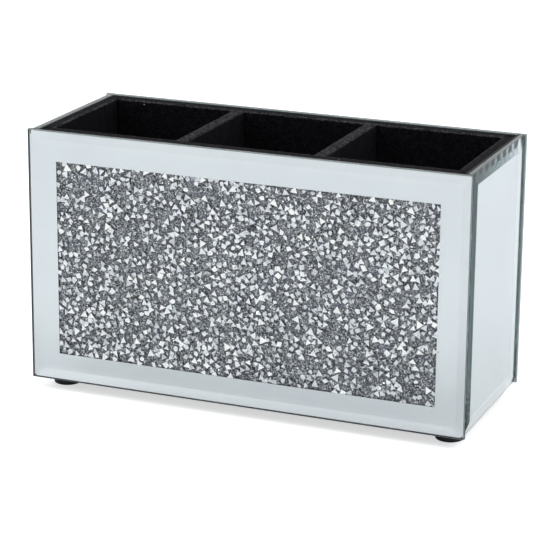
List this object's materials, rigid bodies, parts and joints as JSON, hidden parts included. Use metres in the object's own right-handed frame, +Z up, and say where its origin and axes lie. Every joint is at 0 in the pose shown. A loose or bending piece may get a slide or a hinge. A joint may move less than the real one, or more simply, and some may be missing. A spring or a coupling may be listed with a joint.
{
  "type": "makeup brush holder",
  "caption": "Open-topped mirrored makeup brush holder: bevelled glass panels, a crushed-crystal window in the front, felt-lined compartments and rubber feet.",
  "frame": {"origin": "middle of the footprint, at the underside of the feet", "axes": "+X along the length to the right end, +Y from the crystal front to the back, +Z up"},
  "size_m": [0.22, 0.09, 0.1297],
  "materials": {
    "glass": "clear float glass with polished bevels and ground edges",
    "silver": "silver coat, mirror bright towards the glass",
    "crystal": "crushed clear crystal over a silvered ground, faceted and bright",
    "fibreboard": "raw fibreboard",
    "felt": "black felt with a short nap",
    "backing_cloth": "flat black backing cloth",
    "rubber": "matt black rubber"
  },
  "bodies": {
    "root": {"front_glass": "glass", "back_glass": "glass", "left_glass": "glass", "right_glass": "glass", "front_silver": "silver", "back_silver": "silver", "left_silver": "silver", "right_silver": "silver", "crystal_bed": "crystal", "front_board": "fibreboard", "back_board": "fibreboard", "left_board": "fibreboard", "right_board": "fibreboard", "base_board": "fibreboard", "left_divider": "fibreboard", "right_divider": "fibreboard", "front_felt": "felt", "back_felt": "felt", "left_felt": "felt", "right_felt": "felt", "left_divider_felt": "felt", "right_divider_felt": "felt", "left_floor_felt": "felt", "middle_floor_felt": "felt", "right_floor_felt": "felt", "base_cover": "backing_cloth", "front_left_foot": "rubber", "front_right_foot": "rubber", "back_left_foot": "rubber", "back_right_foot": "rubber"}
  },
  "joints": []
}
